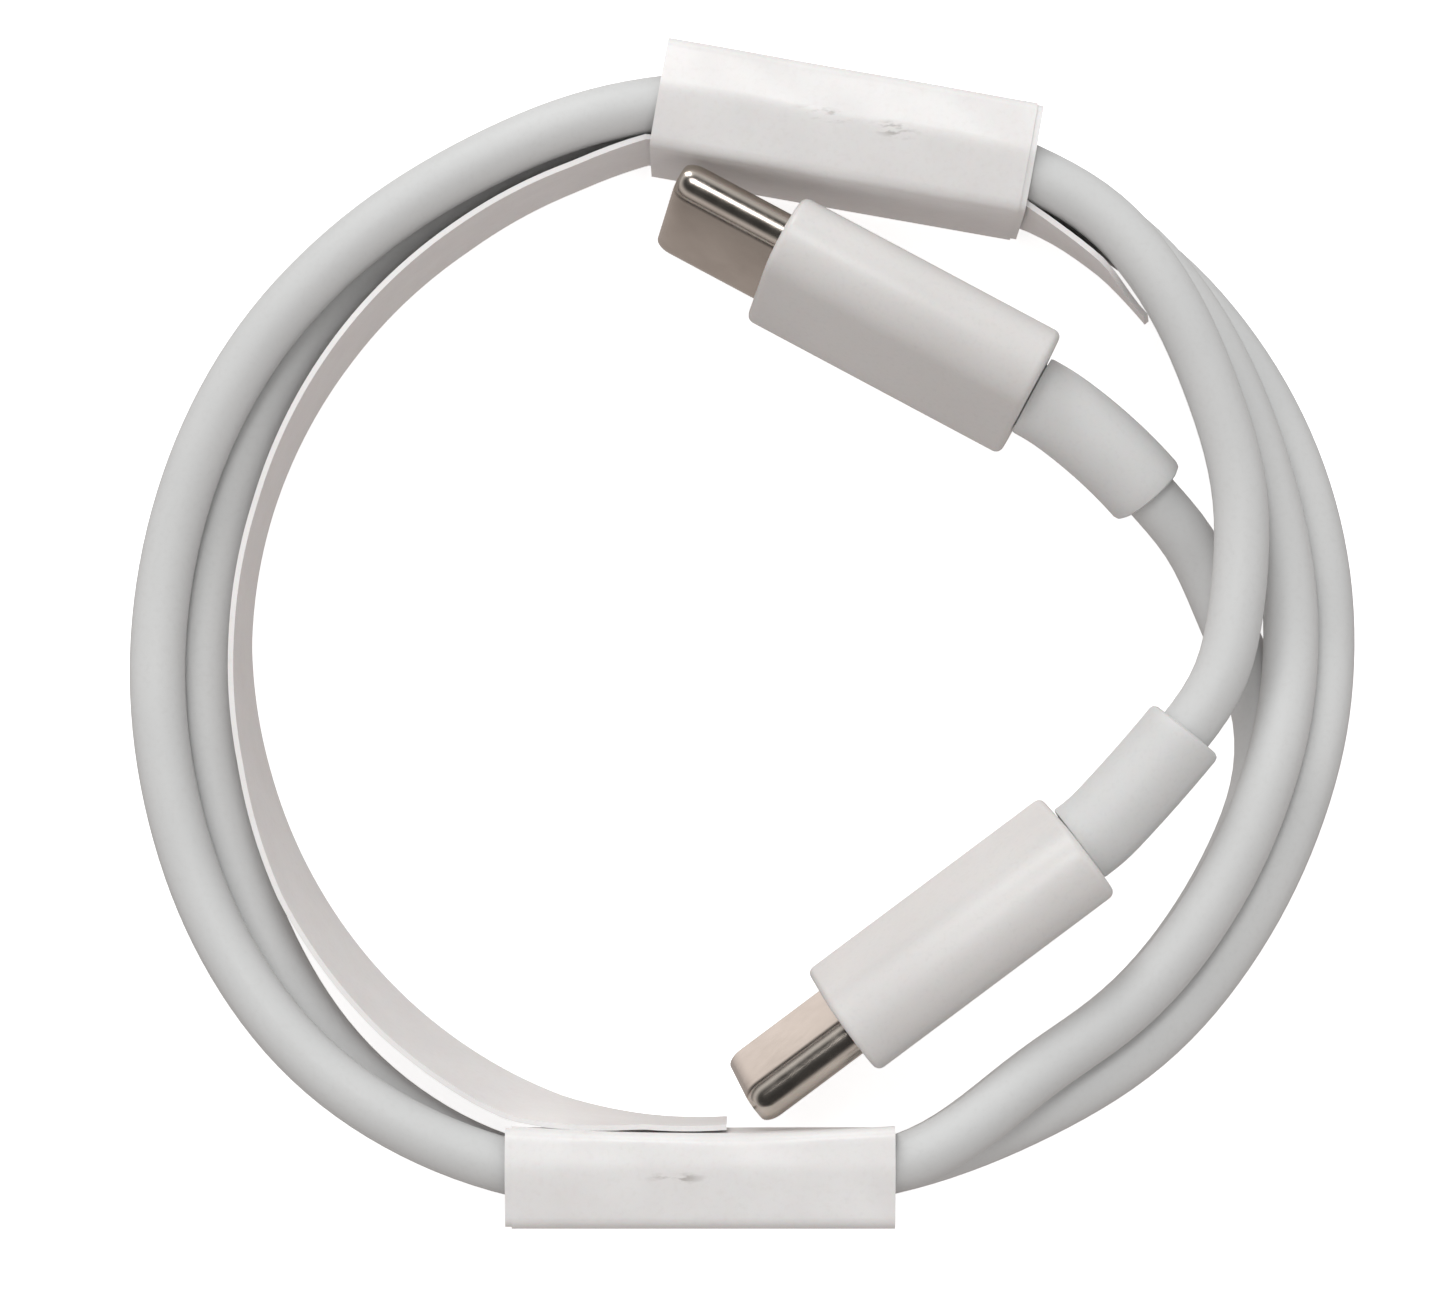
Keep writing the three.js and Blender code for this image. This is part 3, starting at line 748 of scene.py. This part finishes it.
def add_shell(end, plug):
    """The oval metal tube of the connector, drawn in round its mouth."""
    matrix = rolled_matrix(plug)
    tip = HOUSING_LENGTH + SHELL_EXPOSED
    back = HOUSING_LENGTH - SHELL_BURIED
    nose, draw = 1.0, 0.5  # how far back the rounded mouth begins, and how much it draws in
    curve = [math.radians(10 * k) for k in range(10)]
    outside = [(tip - nose * (1 - math.sin(a)), draw * (1 - math.cos(a))) for a in curve]
    inside = [(x - SHELL_WALL, inward + SHELL_WALL) for x, inward in outside]
    profile = [(back, SHELL_WALL), (back, 0), (tip - 2 * nose, 0), *outside, *reversed(inside)]
    rows = [(x, SHELL_WIDTH / 2 - inward, SHELL_HEIGHT / 2 - inward) for x, inward in profile]
    rings = [stadium_ring(*row, matrix) for row in rows]
    shape = loft(rings, closed_loop=True)
    piece = mesh_object(f"connector_shell_{end}", *shape, SHELL_METAL, smooth_angle=35)
    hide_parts(f"plug_shell_{end}")
    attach(piece, f"plug_{end}")


def add_relief(end, plug):
    """The soft round sleeve behind the housing, with a neck inside it and a rounded free end."""
    matrix = plug_matrix(plug)
    body, bore, neck = RELIEF_DIAMETER / 2, RELIEF_BORE / 2, RELIEF_NECK / 2
    gap, front_edge, bore_edge = 0.08, 0.05, 0.1
    end_edge = ((0.35, 0), (0.12, 0.07), (0, 0.28))  # how far before the free end, and how far in
    end_x = -RELIEF_LENGTH
    stations = [-0.2 - 0.4 * k for k in range(20)]  # close enough together to bend smoothly
    rows = [(RELIEF_BURIED, bore), (RELIEF_BURIED, neck), (-gap, neck), (-gap, body - front_edge)]
    rows += [(x, body) for x in stations]
    rows += [(end_x + before, body - inward) for before, inward in end_edge]
    rows += [(end_x, bore + bore_edge), (end_x + bore_edge, bore)]
    rows += [(x, bore) for x in reversed(stations)]
    rings = [relief_ring(along, radius, plug, matrix) for along, radius in rows]
    piece = mesh_object(f"relief_sleeve_{end}", *loft(rings, closed_loop=True), RELIEF, smooth_angle=35)
    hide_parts(f"strain_relief_{end}")
    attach(piece, f"plug_{end}")


def paint_inner_pieces():
    """The CAD pieces inside the plugs keep their shapes and get finished materials."""
    looks = {
        "insulator": INSULATOR,
        "contact_row": GOLD,
        "side_latch": INNER_METAL,
        "ground_spring": INNER_METAL,
        "paddle_card": BOARD,
        "control_chip": CHIP,
        "shield_can": INNER_METAL,
        "crimp_ring": INNER_METAL,
        "cord_end": JACKET,
    }
    looks.update({f"wire_{role}": material for role, material in WIRES.items()})
    for name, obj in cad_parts.items():
        for start, material in looks.items():
            if name.startswith(start):
                for slot in obj.material_slots:
                    slot.material = material


# ---------- the paper wrap ----------


def sleeve_section(place, x, layer, top_points=16, corner_points=6):
    """A sleeve's section at x, as (across, height) points, drawn in by the given thickness of paper."""
    half_width = place["width"] / 2 - layer
    half_height = SLEEVE_HEIGHT / 2 - layer
    corner = SLEEVE_CORNER - layer
    waist = place["waist"] * max(0, 1 - (2 * x / SLEEVE_LENGTH) ** 2)
    flat = half_width - corner
    ring = []
    for side, upper, first in ((1, -1, -90), (1, 1, 0), (-1, 1, 90), (-1, -1, 180)):
        for k in range(corner_points + 1):
            a = math.radians(first + 90 * k / corner_points)
            across = side * flat + corner * math.cos(a)
            height = upper * (half_height - corner) + corner * math.sin(a)
            ring.append((across, height))
        if (side, upper) == (1, 1):
            ring += [(lerp(flat, -flat, k / top_points), half_height) for k in range(1, top_points)]
    return [sleeve_shaped(place, x, across, height, waist) for across, height in ring]


def sleeve_shaped(place, x, across, height, waist):
    """Gives a point of the plain section the fold along its top, its drawn-in wall and slight ripples."""
    soft = 0.35  # how far from the ridge the fold is rounded
    ripple_height, ripples_along, ripples_across = 0.05, 0.55, 0.9
    beside = across - place["ridge"]
    fall = place["fall_out"] if beside > 0 else place["fall_in"]
    raised = smoothstep(height, -SLEEVE_HEIGHT / 2, SLEEVE_HEIGHT / 2)
    ripple = ripple_height * (1 + math.sin(ripples_along * x + ripples_across * across))
    drop = fall * (math.hypot(beside, soft) - soft) + ripple - SLEEVE_CROWN
    inner_wall = smoothstep(-across, 0, place["width"] / 2)
    return across + waist * inner_wall * raised, height + SLEEVE_HEIGHT / 2 - drop * raised


def add_sleeve(name, place):
    """Two layers of paper round the turns. The inner one reaches a little further at one end."""
    half, steps = SLEEVE_LENGTH / 2, 40
    stations = [lerp(-half, half - PLY_REACH, i / steps) for i in range(steps + 1)]
    rows = [(x, 0) for x in stations] + [(half - PLY_REACH, PLY), (half, PLY)]
    rows += [(x, 2 * PLY) for x in [half, *reversed(stations)]]
    rings = []
    for x, layer in rows:
        section = sleeve_section(place, x, layer)
        rings.append([sleeve_point(place, x, across, height) for across, height in section])
    shape = loft(rings, closed_loop=True)
    piece = mesh_object(f"paper_sleeve_{name}", *shape, PAPER_WHITE, smooth_angle=50)
    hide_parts(f"wrap_sleeve_{name}")
    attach(piece, "coil_and_wrap")


def strip_radii(angle):
    """The radii of the strip's lower and upper edge at an angle in degrees."""
    for low, high in zip(STRIP, STRIP[1:]):
        if angle <= high[0]:
            t = max(0, (angle - low[0]) / (high[0] - low[0]))
            return lerp(low[1], high[1], t), lerp(low[2], high[2], t)
    return STRIP[-1][1:]


def add_strip():
    """The paper strip that stands on edge inside the turns."""
    first, last = STRIP[0][0], STRIP[-1][0]
    stations, levels = 150, 8
    rings = []
    for i in range(stations + 1):
        angle = lerp(first, last, i / stations)
        bottom, top = strip_radii(angle)
        climb = FLAP_RISE * (1 - smoothstep(angle, *FLAP_END))
        upper_edge = STRIP_TOP + climb - TUCK * smoothstep(angle, *TUCK_END)
        ring = []
        for side, order in ((0.5, range(levels + 1)), (-0.5, range(levels, -1, -1))):
            for j in order:
                t = j / levels
                radius = lerp(bottom, top, t) + side * PAPER
                ring.append(polar(angle, radius, lerp(STRIP_BOTTOM, upper_edge, t)))
        rings.append(ring)
    piece = mesh_object("paper_strip", *loft(rings), PAPER_WHITE, smooth_angle=50)
    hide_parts("wrap_strip")
    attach(piece, "coil_and_wrap")


# ---------- floor and light ----------


def add_floor():
    """A white floor that shines, so that it stays white. It neither lights the cable nor shows in it."""
    reach = 2
    m = Nodes("floor")
    m.set(Base_Color=(0.9, 0.9, 0.9, 1), Roughness=0.9, Specular_IOR_Level=0.1)
    m.set(Emission_Color=(1, 1, 1, 1), Emission_Strength=0.7)
    corners = ((-reach, -reach), (reach, -reach), (reach, reach), (-reach, reach))
    vertices = [Vector((x, y, 0)) for x, y in corners]
    floor = mesh_object("floor", vertices, [(0, 1, 2, 3)], m.material)
    floor.visible_diffuse = False
    floor.visible_glossy = False


def add_area(name, azimuth, elevation, distance, size, energy):
    """A square soft light that faces the origin from the given direction, in degrees."""
    data = bpy.data.lights.new(name, "AREA")
    data.size = size
    data.energy = energy
    turn, tilt = math.radians(azimuth), math.radians(elevation)
    towards = Vector((math.cos(tilt) * math.cos(turn), math.cos(tilt) * math.sin(turn), math.sin(tilt)))
    light = bpy.data.objects.new(name, data)
    light.location = towards * distance
    light.rotation_mode = "QUATERNION"
    light.rotation_quaternion = (-towards).to_track_quat("-Z", "Y")
    bpy.context.collection.objects.link(light)


def add_world():
    """Soft light from above and from +Y, warmer from below.

    Reflections show pale walls, a dark overhead and a partly lit table instead.
    """
    world = bpy.data.worlds.new("studio")
    world.use_nodes = True
    tree = world.node_tree
    place = tree.nodes.new("ShaderNodeTexCoord")

    def brightness(towards, low, high, dark, bright):
        """From dark to bright as a direction's share along towards goes from low to high."""
        along = tree.nodes.new("ShaderNodeVectorMath")
        along.operation = "DOT_PRODUCT"
        along.inputs[1].default_value = Vector(towards).normalized()
        span = tree.nodes.new("ShaderNodeMapRange")
        for name, value in (("From Min", low), ("From Max", high), ("To Min", dark), ("To Max", bright)):
            span.inputs[name].default_value = value
        tree.links.new(place.outputs["Generated"], along.inputs[0])
        tree.links.new(along.outputs["Value"], span.inputs["Value"])
        return span.outputs["Result"]

    def total(*parts):
        result = parts[0]
        for part in parts[1:]:
            plus = tree.nodes.new("ShaderNodeMath")
            plus.operation = "ADD"
            tree.links.new(result, plus.inputs[0])
            tree.links.new(part, plus.inputs[1])
            result = plus.outputs[0]
        return result

    walls = brightness((0, 0, 1), 0.05, 0.35, 0.06, 0.7)
    overhead = brightness((0, 0, 1), 0.5, 0.74, 0, -0.66)
    table = brightness((0, 0, -1), 0.3, 0.7, 0, 0.42)
    lit_table = brightness((-0.2, 0.6, -0.77), 0.88, 0.97, 0, 0.6)
    ray = tree.nodes.new("ShaderNodeLightPath")
    mix = tree.nodes.new("ShaderNodeMix")
    sky = brightness((-0.12, 0.5, 0.85), -1, 1, 0.44, 0.79)
    tree.links.new(ray.outputs["Is Glossy Ray"], mix.inputs["Factor"])
    tree.links.new(sky, mix.inputs["A"])
    tree.links.new(total(walls, overhead, table, lit_table), mix.inputs["B"])
    tree.links.new(mix.outputs["Result"], tree.nodes["Background"].inputs["Strength"])
    tint = tree.nodes.new("ShaderNodeMix")
    tint.data_type = "RGBA"
    tint.inputs["A"].default_value = (1, 0.92, 0.885, 1)
    tint.inputs["B"].default_value = (0.985, 1, 1, 1)
    tree.links.new(brightness((0, 0.5, 0.85), -0.6, 0.8, 0, 1), tint.inputs["Factor"])
    tree.links.new(tint.outputs["Result"], tree.nodes["Background"].inputs["Color"])
    bpy.context.scene.world = world


# ---------- the whole scene ----------

add_camera()
cord_pieces = add_cord()
declare_cord(cord_pieces)
for plug_end, plug_place in PLUGS.items():
    add_housing(plug_end, plug_place)
    add_shell(plug_end, plug_place)
    add_relief(plug_end, plug_place)
paint_inner_pieces()
for sleeve_name, sleeve_place in SLEEVES.items():
    add_sleeve(sleeve_name, sleeve_place)
add_strip()
add_floor()
add_world()
add_area("key", azimuth=108, elevation=27, distance=0.9, size=0.35, energy=2.1)
add_area("sheen", azimuth=100, elevation=68, distance=0.6, size=0.2, energy=0.75)
bpy.context.scene.view_settings.view_transform = "Standard"
